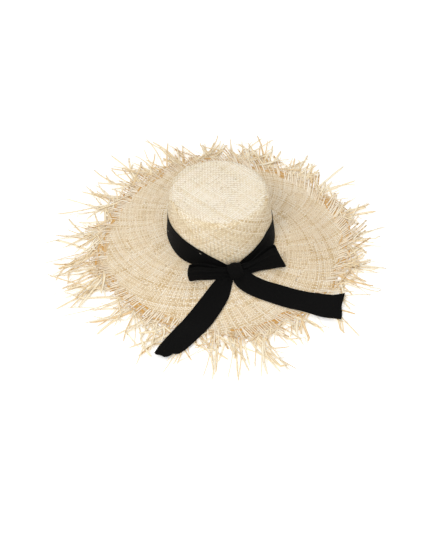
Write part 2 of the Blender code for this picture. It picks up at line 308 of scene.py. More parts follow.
def straw_look(name, dark, middle, pale, golden):
    """Straw: a tone for each strand, fibres along it, flecks, a golden tint where warm is high, and painted
    shade at each strand's long edges and where it passes under another.
    """
    look = Look(name, roughness=0.62, specular=0.3, sheen=0.12)
    run, across, tone = look.add("SeparateXYZ", {0: look.attribute("straw", "Vector")}).outputs
    row = look.times(tone, 70.0)  # sets each strand's pattern apart
    fibre = look.noise(look.vector(look.times(run, 60.0), across, row), 2.2, 3.0)
    fine = look.noise(look.vector(look.times(run, 45.0), look.times(across, 5.0), row), 2.0, 2.0)
    patch = look.noise(look.add("TexCoord").outputs["Object"], 60.0, 4.0, Roughness=0.7)
    uneven = [look.times(look.maths("SUBTRACT", noise, 0.5), 0.7) for noise in (fibre, patch)]
    level = look.maths("ADD", tone, look.maths("ADD", *uneven), clamp=True)
    colour = look.ramp(level, ((0.05, dark), (0.45, middle), (0.95, pale)))
    fleck = look.noise(look.vector(look.times(run, 130.0), 0.0, look.times(tone, 311.0)), 1.0, 1.0)
    fleck_part = look.times(look.maths("SUBTRACT", fleck, 0.6, clamp=True), 3.6)
    colour = look.mix(fleck_part, colour, (0.4, 0.27, 0.13))
    warm = look.times(look.attribute("warm", "Fac"), look.maths("ADD", fibre, 0.35))
    colour = look.mix(look.maths("MINIMUM", warm, 1.0), colour, golden)
    # Painted shade: darker brown towards each strand's long edges, and where the strand passes under
    # another.
    edge = look.times(look.maths("POWER", look.maths("ABSOLUTE", across), 5.0), 0.55)
    under = look.times(look.maths("POWER", look.attribute("sunk", "Fac"), 1.6), 0.9)
    shade = look.maths("ADD", edge, under, clamp=True)
    look.link(look.mix(shade, colour, (0.46, 0.28, 0.1)), "Base Color")
    shine = look.add("MapRange", {"Value": fine, "To Min": 0.5, "To Max": 0.78})
    look.link(shine.outputs[0], "Roughness")
    look.bump(fine, 0.45, 0.0003)
    return look.material


def cloth_look(name, deep, light, rib_pitch, roughness, specular):
    """Ribbed cloth: cross ribs, finer threads along it, and a soft mottle."""
    look = Look(name, roughness=roughness, specular=specular, sheen=0.02)
    along, across, _ = look.add("SeparateXYZ", {0: look.attribute("cloth", "Vector")}).outputs
    rib = look.maths("SINE", look.times(along, TURN / rib_pitch))
    thread = look.maths("SINE", look.times(across, TURN / (rib_pitch * 0.7)))
    weave = look.maths("ADD", look.times(rib, 0.5), look.times(thread, 0.25))
    mottle = look.noise(look.vector(along, across, 0.0), 260.0, 4.0)
    level = look.maths("ADD", look.times(weave, 0.3), mottle)
    look.link(look.ramp(level, ((0.25, deep), (0.85, light))), "Base Color")
    look.bump(look.maths("ADD", weave, mottle), 0.35, 0.0002)
    return look.material


def thread_look(name, colour):
    """Thread with an uneven ply."""
    look = Look(name, roughness=0.75, specular=0.3, sheen=0.1)
    ply = look.noise(look.add("TexCoord").outputs["Object"], 2400.0, 2.0)
    darker = tuple(value * 0.6 for value in colour)
    look.link(look.ramp(ply, ((0.3, darker), (0.7, colour))), "Base Color")
    look.bump(ply, 0.5, 0.0002)
    return look.material


# ------------ meshes

def unit(vectors):
    return vectors / np.maximum(np.linalg.norm(vectors, axis=-1, keepdims=True), 1e-12)


def together(*parts):
    return np.stack(np.broadcast_arrays(*parts), -1)


def polar(angle, radius, height):
    return together(radius * np.sin(angle), -radius * np.cos(angle), height)


def circle(count, start=0.0):
    """Angles all round, as a column."""
    return np.linspace(start, start + TURN, count, endpoint=False)[:, None]


def rounded(angle, out, up):
    """Unit vector at this angle with an outward and an upward part."""
    return unit(polar(angle, out, up))


def new_mesh(name, points, faces):
    mesh = bpy.data.meshes.new(name)
    mesh.from_pydata(np.concatenate(points).tolist(), [], np.concatenate(faces).tolist())
    return mesh


def carry(mesh, name, values):
    """Keeps a number or a vector for each point of a mesh, for its material."""
    kind, field = ("FLOAT", "value") if values.ndim == 1 else ("FLOAT_VECTOR", "vector")
    mesh.attributes.new(name, kind, "POINT").data.foreach_set(field, values.ravel())


class Straw:
    """Collects flat closed strands and makes one mesh of them."""

    SIDES = (-1.0, 1.0, 1.0, -1.0)  # of a strand's four long edges

    def __init__(self, seed):
        self.rng = np.random.default_rng(seed)
        self.points, self.faces, self.straw, self.warm, self.sunk = [], [], [], [], []
        self.total = 0

    def lay(self, centres, normals, widths, tones, warmth=0.0, sunk=0.0, thickness=STRAW_THICKNESS):
        """Strands along centres (strand, station, xyz), flat side along normals.

        Sunk is the painted shade for the material: 1 where a strand passes under another."""
        count, stations, _ = centres.shape
        size = (count, stations)
        widths, warmth, sunk = (np.broadcast_to(values, size) for values in (widths, warmth, sunk))
        tones = np.broadcast_to(np.asarray(tones).reshape(-1, 1), size)
        ahead = unit(np.gradient(centres, axis=1))
        sides = unit(np.cross(ahead, normals))
        half = sides * widths[..., None] / 2
        lift = unit(np.cross(sides, ahead)) * thickness / 2
        corners = np.stack([centres + a * half + b * lift for a, b in zip(self.SIDES, (-1, -1, 1, 1))], 2)
        index = self.total + np.arange(count * stations * 4).reshape(count, stations, 4)
        here, following = index[:, :-1], index[:, 1:]
        for first in range(4):
            second = (first + 1) % 4
            quad = [here[..., first], following[..., first], following[..., second], here[..., second]]
            self.faces.append(np.stack(quad, -1).reshape(-1, 4))
        self.faces += [index[:, 0], index[:, -1, ::-1]]
        steps = np.linalg.norm(np.roll(centres, -1, 1) - centres, axis=-1)
        run = np.cumsum(steps, 1) + self.rng.uniform(0, 5, (count, 1))
        across = np.broadcast_to(self.SIDES, (count, stations, 4))
        run, tones, warmth, sunk = (
            np.broadcast_to(values[..., None], across.shape) for values in (run, tones, warmth, sunk)
        )
        self.points.append(corners.reshape(-1, 3))
        self.straw.append(np.stack([run, across, tones], -1).reshape(-1, 3))
        self.warm.append(warmth.reshape(-1))
        self.sunk.append(sunk.reshape(-1))
        self.total += count * stations * 4

    def lay_one(self, centres, normals, *more, **named):
        """One strand, along centres (station, xyz)."""
        self.lay(centres[None], normals[None], *more, **named)

    def made(self, name, material, slot, *nodes):
        mesh = new_mesh(name, self.points, self.faces)
        for key, parts in (("straw", self.straw), ("warm", self.warm), ("sunk", self.sunk)):
            carry(mesh, key, np.concatenate(parts))
        return placed(name, mesh, material, "hat", slot, *nodes)


def placed(name, mesh, material, body, slot, *nodes):
    """A piece of the hat: smooth shaded, given its material, tied to its body and hiding the CAD parts it
    stands for. A tail's ribbon gets no body here.
    """
    mesh.shade_smooth()
    mesh.materials.append(material)
    piece = in_scene(name, mesh)
    if body:
        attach(piece, body)
    if nodes:
        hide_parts(*nodes)
    return piece


def cloth_piece(name, grid, cloth, material, slot, node, body="hat", closed=False, thickness=CLOTH):
    """Thin sheet, closed on all sides, round a grid (along, across, xyz).

    Cloth holds each point's distances along and across the flat cloth. Closed joins the two ends."""
    rows, columns, _ = grid.shape
    along = np.roll(grid, -1, 0) - np.roll(grid, 1, 0) if closed else np.gradient(grid, axis=0)
    normals = unit(np.cross(along, np.gradient(grid, axis=1)))
    outer, inner = grid + normals * thickness / 2, grid - normals * thickness / 2
    index = np.arange(rows * columns).reshape(rows, columns)
    shift = rows * columns
    below = index + shift
    following = np.roll(index, -1, 0) if closed else index[1:]
    here = index if closed else index[:-1]
    faces = []

    def quads(a, b, c, d):
        faces.append(np.stack([np.ravel(part) for part in (a, b, c, d)], -1))

    quads(here[:, :-1], following[:, :-1], following[:, 1:], here[:, 1:])
    quads(here[:, 1:] + shift, following[:, 1:] + shift, following[:, :-1] + shift, here[:, :-1] + shift)
    quads(here[:, 0], here[:, 0] + shift, following[:, 0] + shift, following[:, 0])
    quads(here[:, -1], following[:, -1], following[:, -1] + shift, here[:, -1] + shift)
    if not closed:
        quads(index[0, :-1], index[0, 1:], below[0, 1:], below[0, :-1])
        quads(index[-1, 1:], index[-1, :-1], below[-1, :-1], below[-1, 1:])
    mesh = new_mesh(name, [outer.reshape(-1, 3), inner.reshape(-1, 3)], faces)
    carry(mesh, "cloth", np.pad(np.tile(cloth.reshape(-1, 2), (2, 1)), ((0, 0), (0, 1))))
    return placed(name, mesh, material, body, slot, node)


def measured(grid):
    """Distances along and across a grid, in metres, for the pattern of its cloth."""
    middle = grid[:, grid.shape[1] // 2]
    along = np.append(0, np.cumsum(np.linalg.norm(np.diff(middle, axis=0), axis=1)))
    across = np.linspace(0, RIBBON_WIDTH, grid.shape[1])
    return together(along[:, None], across[None, :])


def ease(value):
    value = np.clip(value, 0, 1)
    return value * value * (3 - 2 * value)


def hump(angle, place, width):
    """1 at a place round the crown, falling off smoothly to both sides."""
    return np.exp(-((((angle - place + pi) % TURN - pi) / width) ** 2))


def skewed(rng, least, more, most):
    return min(least + rng.exponential(more), most)


# ------------ brim

def brim_wave(angle, radius):
    """How far the soft brim stands off its CAD shape."""
    reach = np.clip((radius - 0.11) / 0.12, 0, 1.25) ** 2
    roll = 0.5 + 0.28 * np.sin(2 * angle + 2.2)
    roll = roll + 0.14 * np.sin(3 * angle - 0.8) + 0.08 * np.sin(7 * angle + 1.1)
    return BRIM_WAVE * reach * roll


def brim_middle(angle, radius):
    """Height of the middle of the brim's thickness."""
    inward = np.clip((LEVEL_RADIUS - radius) / (LEVEL_RADIUS - CROWN_RADIUS), 0, 1.02)
    return SHELL / 2 + (JUNCTION - SHELL) * inward**BRIM_CURVE + brim_wave(angle, radius)


def brim_normal(angle, radius):
    step = 0.0005
    slope = (brim_middle(angle, radius + step) - brim_middle(angle, radius - step)) / (2 * step)
    return rounded(angle, -slope, np.ones_like(slope))


def hand_woven(angle, radius):
    """Bends the regular spirals: they lean more on the right than on the left."""
    start = BRIM_ZONES[0][0]
    inside = np.clip((radius - start) / 0.13, 0, 1)
    turned = angle + LEAN_SWING * np.sin(angle - LEAN_PLACE) * (radius - start)
    shifted = radius + 0.004 * np.sin(2 * angle + 2.6) * np.sin(pi * inside)
    return turned, shifted


def close_edge(angle):
    """Radius where the close weave gives way to loose ends."""
    wander = 0.6 * np.sin(3 * angle + 0.4) + 0.5 * np.sin(8 * angle + 1.9) + 0.5 * np.sin(19 * angle)
    radius = CLOSE_EDGE + 0.0034 * (wander + 0.4 * np.sin(43 * angle + 1.0))
    for place, width, more in EDGE_SWELLS:
        radius = radius + more * hump(angle, place, width)
    return radius


def open_part(angle):
    """Where the weave is looser just inside its edge, from 0 to 1."""
    return np.clip(0.55 + 0.5 * np.sin(5 * angle + 0.6) + 0.45 * np.sin(11 * angle + 2.0), 0, 1)


def strand_tones(rng, count, low=0.05, high=0.95):
    """Tones from 0, dark, to 1, pale. Few lie outside low and high."""
    return np.clip(rng.normal((low + high) / 2, (high - low) / 4, count), 0.02, 0.98)


def make_brim(material):
    rings, spokes = Straw(SEEDS["rings"]), Straw(SEEDS["spokes"])
    for low, high, middle in BRIM_ZONES:
        weave_zone(low, high, middle, rings, spokes)
    golden_arcs(rings)
    pale_bars(spokes)
    rings.made("brim_weave_rings", material, "straw", "brim")
    spokes.made("brim_weave_spokes", material, "straw")


def weave_zone(low, high, middle, rings, spokes):
    """Weaves strands that wind round the brim through strands that run outwards.

    Both are logarithmic spirals: winding strand a and outgoing strand b meet where
    log(radius / low) = (a - b) sin(LEAN) cos(LEAN), with a and b their angles at the zone's start."""
    shares = (sin(LEAN), cos(LEAN))
    growth = shares[0] * shares[1]
    counts = [2 * round(pi * middle * share / PITCH) for share in shares]
    starts = [
        TURN * (np.arange(count) + straw.rng.normal(0, 0.08, count)) / count
        for count, straw in zip(counts, (rings, spokes))
    ]
    span = log(high / low) / growth
    for own, straw in enumerate((rings, spokes)):
        other, way, rng, count = 1 - own, 2 * own - 1, straw.rng, counts[own]
        first = starts[own] * counts[other] / TURN
        first = np.ceil(first) if own else np.floor(first)
        crossings = int(span * counts[other] / TURN) + 1
        index = first.astype(int)[:, None] + way * np.arange(crossings)[None, :]
        met = starts[other][index % counts[other]] + TURN * (index // counts[other])
        grown = (met - starts[own][:, None]) * way * growth
        outgoing = starts[own][:, None] if own else met
        angle, radius = hand_woven(outgoing + tan(LEAN) * grown, low * np.exp(grown))
        sign = np.where((np.arange(count)[:, None] + index) % 2, 1.0, -1.0) * way  # over or under
        # Both ends run on a little and are tucked under.
        more = [rng.uniform(0.3, 1.2, (count, 1)) for _ in range(2)]
        angle = tucked(angle, more)
        radius = np.maximum(tucked(radius, more), INNERMOST)
        deep = np.full((count, 1), -1.2)
        sign = np.concatenate([deep, sign, deep], 1)
        # Painted shade for the material: full where a strand passes under another, lighter at the tucked
        # ends.
        sunk = (1 - sign) / 2
        sunk[:, [0, -1]] = 0.3
        widths = TURN * radius * shares[own] / count * rng.normal(0.91, 0.05, (count, 1))
        tones = strand_tones(rng, count)
        edge = close_edge(angle)
        gilt = ease((radius - edge + 0.012) / 0.016) * rng.uniform(0.0, 1.0, (count, 1)) ** 2 * 0.8
        loose = 0.24 * ease((radius - edge + 0.013) / 0.007) * open_part(angle)
        # The weave on the right is looser, with more of the golden spots where strands dip under. The spots
        # are partly straw colour and partly painted shade in the dips.
        patch = hump(angle, *LOOSE_PATCH) * ease((radius - 0.115) / 0.03) * ease((0.21 - radius) / 0.02)
        spots = np.random.default_rng(SEEDS["spots"] + own).random(radius.shape) ** 4
        gilt = gilt + (0.12 + 1.1 * patch) * spots * (1 - sign) / 2
        loose = loose + 0.13 * patch
        widths = widths * (1 - loose) * (1 - 0.12 * ease((radius - edge) / 0.004))
        centres = polar(angle, radius, brim_middle(angle, radius) + sign * WEAVE_LIFT)
        normals = brim_normal(angle, radius)
        if high < CLOSE_EDGE:
            straw.lay(centres, normals, widths, tones, gilt, sunk)
            continue
        kept = (radius < edge + open_net(rng, own, starts[own])[:, None]).sum(1)
        for strand, stations in enumerate(kept):
            part = np.s_[strand:strand + 1, :stations]
            tone = tones[strand:strand + 1]
            straw.lay(centres[part], normals[part], widths[part], tone, gilt[part], sunk[part])


def open_net(rng, own, starts):
    """How far each strand goes on past the edge of the close weave.

    Every second outgoing strand (own is 1) and a few winding ones go on, as an open net."""
    count = len(starts)
    if own:
        goes_on = (np.arange(count) + (rng.random(count) < 0.12)) % 2 == 0
        clump = 0.55 + 0.45 * np.sin(9 * starts + 2.0 * np.sin(4 * starts))
        far = 0.01 + 0.036 * clump * rng.uniform(0.3, 1.0, count)
        return np.where(goes_on, far, rng.uniform(-0.001, 0.004, count))
    goes_on = rng.random(count) < 0.28
    return np.where(goes_on, rng.uniform(0.006, 0.026, count), rng.uniform(-0.002, 0.003, count))


def tucked(values, more):
    """Strands with one more station before the first and after the last."""
    before = values[:, :1] + (values[:, :1] - values[:, 1:2]) * more[0]
    after = values[:, -1:] + (values[:, -1:] - values[:, -2:-1]) * more[1]
    return np.concatenate([before, values, after], 1)


def golden_arcs(rings):
    """Golden winding straw on the loose last rows of the weave. Its dark golden colour is partly its own
    and partly painted shade and light through straw in the gaps.
    """
    rng = rings.rng
    for row in range(ARC_ROWS):
        turn = rng.uniform(0, 0.3)
        while turn < TURN:
            length = rng.uniform(*ARC_LENGTH)
            stations = max(5, int(length / 0.018))
            angles = turn + np.linspace(0, length, stations)
            turn += length + rng.uniform(*ARC_GAP)
            if rng.uniform(0.1, 0.7) > open_part(angles.mean()):
                continue
            radius = close_edge(angles) - ARC_INSET + ARC_STEP * row + rng.normal(0, 0.0005)
            radius = radius + rng.normal(0, 0.0012) * np.linspace(-1, 1, stations)
            lift = ARC_LIFT * np.sin(pi * np.linspace(0, 1, stations)) ** 0.3
            centres = polar(angles, radius, brim_middle(angles, radius) + lift)
            width, gilt = rng.uniform(*ARC_WIDTH), rng.uniform(0.5, 1.5)
            rings.lay_one(centres, brim_normal(angles, radius), width, strand_tones(rng, 1, 0.0, 0.4), gilt)


def pale_bars(spokes):
    """Outgoing strands that cross over the golden ones, one by one, and end outside the weave."""
    rng = spokes.rng
    for start in TURN * np.arange(BARS) / BARS + rng.normal(0, 0.003, BARS):
        if rng.random() > 0.45 + 0.55 * open_part(start):
            continue
        reach = np.linspace(BAR_START, skewed(rng, *BAR_END), len(BAR_ARCH))
        lean = BAR_TURN + LEAN_SWING * sin(start - LEAN_PLACE) + rng.normal(0, 0.45)
        angles = start + reach * lean
        radius = close_edge(start) + reach
        centres = polar(angles, radius, brim_middle(angles, radius) + BAR_ARCH)
        width, tone = rng.uniform(*BAR_WIDTH), strand_tones(rng, 1, 0.45, 1.0)
        spokes.lay_one(centres, brim_normal(angles, radius), width, tone, rng.uniform(0, 0.3))


# ------------ fringe

def make_fringe(material):
    """Each tuft is bunches of outgoing ends, ends that leave nearly along the edge, and fine hairs."""
    rng = np.random.default_rng(SEEDS["fringe"])
    span = TURN / TUFTS
    for index in range(TUFTS):
        tuft = Straw(SEEDS["tufts"] + index)
        middle = span * index
        # Longest on the left, long again behind on the right, and shortest on the right.
        scale = 1.08 + 0.2 * cos(middle + 1.1) + 0.32 * exp(-(((middle - 2.45) / 0.55) ** 2))
        for _ in range(BUNCHES):
            angle = middle + span * rng.uniform(-0.5, 0.5)
            heading = rng.normal(0.18, 0.52)
            members = rng.integers(2, 4) if rng.random() < 0.8 else 5
            length = scale * skewed(rng, *BUNCH_LENGTH)
            for member in range(members):
                place = member - members / 2
                beside = angle + place * 0.0125 + rng.normal(0, 0.003)
                own_heading = heading + (place * 0.05 + rng.normal(0, 0.08 if members < 5 else 0.03))
                own_length = length * rng.uniform(0.6, 1.05)
                loose_strand(tuft, rng, beside, own_heading, own_length, straw_width(rng))
        for _ in range(EDGE_ENDS):
            way = 1 if rng.random() < 0.4 else -1
            heading = way * rng.uniform(0.7, 1.4)
            length = scale * rng.uniform(*EDGE_END_LENGTH)
            angle = middle + span * rng.uniform(-0.5, 0.5)
            loose_strand(tuft, rng, angle, heading, length, straw_width(rng), -0.45 * way)
        for _ in range(HAIRS):
            length = scale * rng.uniform(*HAIR_LENGTH)
            angle = middle + span * rng.uniform(-0.5, 0.5)
            loose_strand(tuft, rng, angle, rng.normal(0, 0.7), length, rng.uniform(*HAIR_WIDTH))
        number = f"{index + 1:02d}"
        tuft.made(f"fringe_{number}", material, "loose_straw", f"fringe_tuft_{number}")


def straw_width(rng):
    return rng.uniform(*BROAD) if rng.random() < 0.25 else rng.uniform(*NARROW)


def loose_strand(tuft, rng, angle, heading, length, width, bend=0.0):
    """A straw end from the edge of the close weave. Heading is its angle from straight outwards."""
    stations = 10
    root = close_edge(angle) + rng.uniform(-0.003, 0.01)
    step = length / (stations - 1)
    turns = rng.normal(0, 0.02, stations - 1) + (bend + rng.normal(0, 0.4)) / stations
    if rng.random() < KINKED:
        turns[rng.integers(3, stations - 1)] += rng.choice([-1, 1]) * rng.uniform(0.3, 1.1)
    turns[0] = 0
    facing = heading + np.cumsum(turns)
    out, sideways = (np.append(0, np.cumsum(wave(facing) * step)) for wave in (np.cos, np.sin))
    x = (root + out) * sin(angle) + sideways * cos(angle)
    y = -(root + out) * cos(angle) + sideways * sin(angle)
    reach = np.hypot(x, y)
    over = reach.max() / FRINGE_LIMIT
    if over > 1:
        x, y, reach = x / over, y / over, reach / over
    along = np.linspace(0, 1, stations)
    here = np.arctan2(x, -y)
    base = brim_middle(here, np.minimum(reach, BRIM_RADIUS))
    stand = rng.normal(0.0, 0.0004) + rng.uniform(-0.0015, 0.006) * along**1.4
    twist = rng.normal(0, 0.22) + np.linspace(0, rng.normal(0, 0.45), stations)
    widths = width * (1 - 0.14 * along) * np.clip((1 - along) * 9 + 0.62, 0, 1)
    height = np.minimum(base + stand, under_tails(x, y) - 0.001)
    height = np.maximum(height, 0.0003 + np.abs(np.sin(twist)) * widths / 2)
    centres = together(x, y, height)
    sides = unit(np.cross(np.gradient(centres, axis=0), [0, 0, 1.0]))
    normals = np.cos(twist)[:, None] * np.array([0, 0, 1.0]) + np.sin(twist)[:, None] * sides
    warm = np.clip(0.45 - 1.6 * along, 0, 1) * rng.uniform(0, 1) + (rng.random() < 0.15) * 0.4
    tuft.lay_one(centres, normals, widths, strand_tones(rng, 1, 0.15, 0.95), warm, thickness=0.0002)


def under_tails(x, y):
    """Height of the ribbon tails' undersides over these places, infinite where there is no tail."""
    limit = np.full(len(x), np.inf)
    for grid in TAIL_GRIDS.values():
        cells = grid[::2, ::2].reshape(-1, 3)
        apart = np.hypot(x[:, None] - cells[None, :, 0], y[:, None] - cells[None, :, 1])
        nearest = apart.argmin(1)
        over = apart[np.arange(len(x)), nearest] < 0.006  # a little more than a cell
        limit = np.where(over, np.minimum(limit, cells[nearest, 2] - CLOTH / 2), limit)
    return limit


# ------------ crown

WALL_HEIGHT = CROWN_TOP - JUNCTION - TOP_MARGIN - CROWN_DOME - SHOULDER
SHOULDER_CENTRE = CROWN_RADIUS - CROWN_TAPER * WALL_HEIGHT - SHOULDER
# Distance up the outline where the tip starts.
FLAT_START = WALL_HEIGHT + (SHOULDER - SHELL / 2) * pi / 2


def crown_profile(run):
    """Radius, height and outward normal at a distance up the crown's half-outline."""
    bend = SHOULDER - SHELL / 2
    turn = np.clip((run - WALL_HEIGHT) / bend, 0, pi / 2)
    level = np.clip(run - WALL_HEIGHT - bend * pi / 2, 0, None)
    wall = np.minimum(run, WALL_HEIGHT)
    radius = SHOULDER_CENTRE + CROWN_TAPER * (WALL_HEIGHT - wall) + bend * np.cos(turn) - level
    rise = JUNCTION + wall + bend * np.sin(turn)
    dome = CROWN_DOME * (1 - (np.clip(radius, 0, SHOULDER_CENTRE) / SHOULDER_CENTRE) ** 2)
    return radius, rise + np.where(level > 0, dome, 0), np.cos(turn), np.sin(turn) + 0.05


def crown_dent(angle, run):
    """Small unevenness of a hand-blocked crown."""
    share = np.clip(run / 0.03, 0, 1)
    return CROWN_DENTS * share * (np.sin(3 * angle + 40 * run) + 0.7 * np.sin(5 * angle - 65 * run + 1))


def leaned(points):
    """Moves points of the crown, and of what is on it, with the crown's slight lean."""
    rise = np.clip((points[..., 2:] - JUNCTION) / (CROWN_TOP - JUNCTION), 0, 1) ** 1.3
    return points + rise * np.array(CROWN_LEAN)


def crown_place(angle, run, lift):
    """Point this far off the crown's surface, and the outward direction there."""
    radius, height, out, up = crown_profile(run)
    normal = rounded(angle, out, up)
    off = normal * (crown_dent(angle, run) + lift)[..., None]
    return leaned(polar(angle, radius, height) + off), normal


def make_crown(material):
    straw = Straw(SEEDS["crown"])
    weave_wall(straw)
    weave_tip(straw)
    straw.made("crown_weave", material, "straw", "crown")


def weave_wall(straw):
    """Two sets of strands that climb the wall slantwise, one to each side."""
    rng, count = straw.rng, WALL_STRANDS
    rise = pi * WALL_RADIUS / count * tan(WALL_SLANT)
    steps = np.arange(-1, int((FLAT_START - 0.001) / rise) + 1)
    run = steps * rise
    radius = crown_profile(run)[0]
    for way in (1, -1):
        wobble = rng.normal(0, 0.08, (count, 1)) + rng.normal(0, 0.04, (count, len(steps)))
        angle = TURN * (np.arange(count)[:, None] + wobble + way * steps[None, :] / 2) / count
        sign = np.where(steps % 2, 1.0, -1.0) * way
        heights = np.broadcast_to(run, angle.shape)
        centres, normals = crown_place(angle, heights, np.broadcast_to(sign * WEAVE_LIFT, angle.shape))
        spacing = TURN * radius / count * sin(WALL_SLANT)
        widths = spacing[None, :] * rng.normal(0.94, 0.06, (count, 1))
        tones = strand_tones(rng, count, 0.12, 0.92)
        # Painted shade where a strand passes under another.
        straw.lay(centres, normals, widths, tones, sunk=(1 - sign[None, :]) * 0.38)


def weave_tip(straw):
    """A plain weave over the flat tip, lapping on to the shoulder."""
    rng = straw.rng
    reach = SHOULDER_CENTRE + TIP_LAP
    half = int(reach / TIP_PITCH)
    for way, turn in ((1, TIP_TURN), (-1, TIP_TURN + pi / 2)):
        for row in range(-half, half + 1):
            offset = row * TIP_PITCH
            steps = int(sqrt(reach**2 - offset**2) / TIP_PITCH)
            if steps < 2:
                continue
            column = np.arange(-steps, steps + 1)
            along = column * TIP_PITCH + rng.normal(0, 0.0001, len(column))
            bow = 0.003 * sin(22 * offset + way) * (1 - (along / reach) ** 2)
            bowed = offset + bow + 0.0009 * np.sin(38 * along + 2 * way) + rng.normal(0, 0.00022)
            x = along * cos(turn) - way * bowed * sin(turn)
            y = along * sin(turn) + way * bowed * cos(turn)
            out = np.hypot(x, y)
            sign = np.where((row + column) % 2, 1.0, -1.0) * way
            lap = 0.0004 * ease((out - SHOULDER_CENTRE + 0.004) / 0.004)
            run = FLAT_START + SHOULDER_CENTRE - out
            line, up = crown_place(np.arctan2(x, -y), run, sign * WEAVE_LIFT + lap)
            width = TIP_PITCH * rng.normal(0.94, 0.05)
            # Lighter painted shade where a strand passes under another.
            straw.lay_one(line, up, width, strand_tones(rng, 1, 0.48, 1.08), sunk=(1 - sign) / 4)


# ------------ ribbon

def smooth_table(table, at):
    """Reading of a table of (degrees, value) pairs, smoothed between its points."""
    places, values = np.radians([row[0] for row in table]), [row[1] for row in table]
    fine = np.linspace(-pi, pi, 721)
    read = np.interp(fine, places, values)
    window = np.hanning(25)
    padded = np.concatenate([read[-13:-1], read, read[1:13]])
    smooth = np.convolve(padded, window / window.sum(), "valid")
    return np.interp((at + pi) % TURN - pi, fine, smooth)


def make_band(material):
    """Band round the crown, gathered in folds towards the bow."""
    around, up = 360, 15
    angle = circle(around, -pi)
    share = np.linspace(0, 1, up)[None, :]
    top = np.maximum(smooth_table(BAND_TOP, angle), 0.0025)
    gather = ease(1.15 - np.abs(angle) / 0.9)
    height = BAND_BOTTOM + (top - BAND_BOTTOM) * share
    folds = np.sin(TURN * (share * 2.4 + 0.15 * np.sin(3 * angle)))
    drape = np.sin(TURN * (share * 1.3 + 0.5 * angle)) * np.sin(2 * angle + 0.5)
    out = 0.0002 + 0.001 * gather + 0.0006 * gather * folds + 0.0002 * gather * drape
    slack = sum(far * np.exp(-(((angle - place) / width) ** 2)) for place, width, far in BAND_SLACK)
    radius = CROWN_RADIUS - CROWN_TAPER * height + out + slack * (1 - share) ** 1.3
    grid = leaned(polar(angle, radius, JUNCTION + height))
    cloth = together(angle * CROWN_RADIUS, share * RIBBON_WIDTH)
    piece = cloth_piece("band_ribbon", grid, cloth, material, "ribbon", "ribbon_band", closed=True)


def above_brim(grid, gap):
    """The points, raised where needed to stay this far above the brim's upper face."""
    angle, radius = np.arctan2(grid[..., 0], -grid[..., 1]), np.hypot(grid[..., 0], grid[..., 1])
    lowest = brim_middle(angle, radius) + SHELL / 2 + gap
    return np.concatenate([grid[..., :2], np.maximum(grid[..., 2], lowest)[..., None]], -1)


def squared(wave):
    """A sine or cosine made slightly boxy."""
    return np.sign(wave) * np.abs(wave) ** 0.85


def make_knot(material):
    """One crumpled turn of ribbon."""
    centre = (KNOT_LOW + KNOT_HIGH) / 2
    half = (KNOT_HIGH - KNOT_LOW) / 2
    around, wide, lips = 72, 25, len(KNOT_LIP)
    turn = circle(around)
    # The last columns turn in and close round the roots of the loops.
    share = np.concatenate([-np.ones(lips), np.linspace(-1, 1, wide), np.ones(lips)])[None, :]
    shut = np.concatenate([KNOT_LIP, np.ones(wide), KNOT_LIP[::-1]])[None, :]
    bulge = 0.84 + 0.16 * np.cos(share * pi / 2) ** 0.7
    bulge = bulge + 0.03 * np.cos(share * 6.5 + 0.9 * np.sin(turn)) + 0.02 * np.sin(3 * turn + 2 * share)
    x = centre.x - 0.0048 + (half.x - 0.0032) * share * (0.93 + 0.16 * np.sin(turn)) - 0.0018 * np.sin(turn)
    y = KNOT_DEPTH * bulge * shut * squared(np.cos(turn))
    z = KNOT_RISE * bulge * (0.75 + 0.25 * shut) * squared(np.sin(turn))
    forward = centre.y + 0.0006 + y * cos(KNOT_TILT) - z * sin(KNOT_TILT)
    upward = centre.z - 0.001 + y * sin(KNOT_TILT) + z * cos(KNOT_TILT)
    grid = above_brim(together(x, forward, upward), 0.0008)
    cloth = together(turn * 0.0095, share * 0.023)
    grid, cloth = grid[:, ::-1], cloth[:, ::-1]
    piece = cloth_piece(
        "knot_ribbon", grid, cloth, material, "ribbon", "bow_knot", closed=True, thickness=0.0007
    )


def make_loop(way, material):
    """Out along the front, round the far end and back. Run is 0 at the root and 1 at the far end."""
    shape = LOOPS[way]
    side, reach, heights = shape["side"], shape["reach"], shape["heights"]
    rows, columns = 30, 22
    out = np.linspace(-0.16, 1, rows)
    bend = np.linspace(0, pi, 11)[1:-1]
    run = np.concatenate([out, 1 + 0.05 * np.sin(bend), out[::-1]])[:, None]
    across = np.concatenate([-np.ones(rows), -np.cos(bend), np.ones(rows)])[:, None]
    share = np.linspace(0, 1, columns)[None, :]  # from the lower edge to the upper
    outside = np.clip(run, 0, 1)
    spread = ease(outside)
    fuller = ease(np.clip(run * shape["full"], 0, 1))
    pinch = shape["pinch"]
    low = pinch[0] * (1 - fuller) + heights[0] * fuller
    high = pinch[1] * (1 - spread) + heights[1] * spread
    depth = 0.002 + 0.0025 * spread
    length = reach[0] + (reach[1] - reach[0]) * share - LOOP_ROOT
    length = length - shape["hollow"] * np.sin(pi * share)
    x = side * (LOOP_ROOT + length * run)
    pleat = (1 - 0.78 * ease(run * 1.05)) * np.sin(TURN * (share * 3.2 + 0.22 * across)) * 0.0019
    crease = 0.001 * np.sin(pi * outside) * np.cos(TURN * (share * 1.4 + 0.1)) * across
    y = LOOP_PLANE - across * depth + pleat + crease + 0.0015 * np.sin(pi * outside)
    near, far = shape["lean"]
    y = y - (near + (far - near) * outside) * (1 - share)
    z = low + (high - low) * share + 0.0008 * np.sin(9 * run) * across
    # The far ends sag back and down towards the brim.
    x, y, z = (values + part * (LOOP_SAG * spread) for values, part in zip((x, y, z), SAG_WAY))
    grid = above_brim(together(x, y, z), 0.0012)
    if side > 0:
        grid = grid[:, ::-1]
    piece = cloth_piece(f"loop_{way}_ribbon", grid, measured(grid), material, "ribbon", f"bow_loop_{way}")


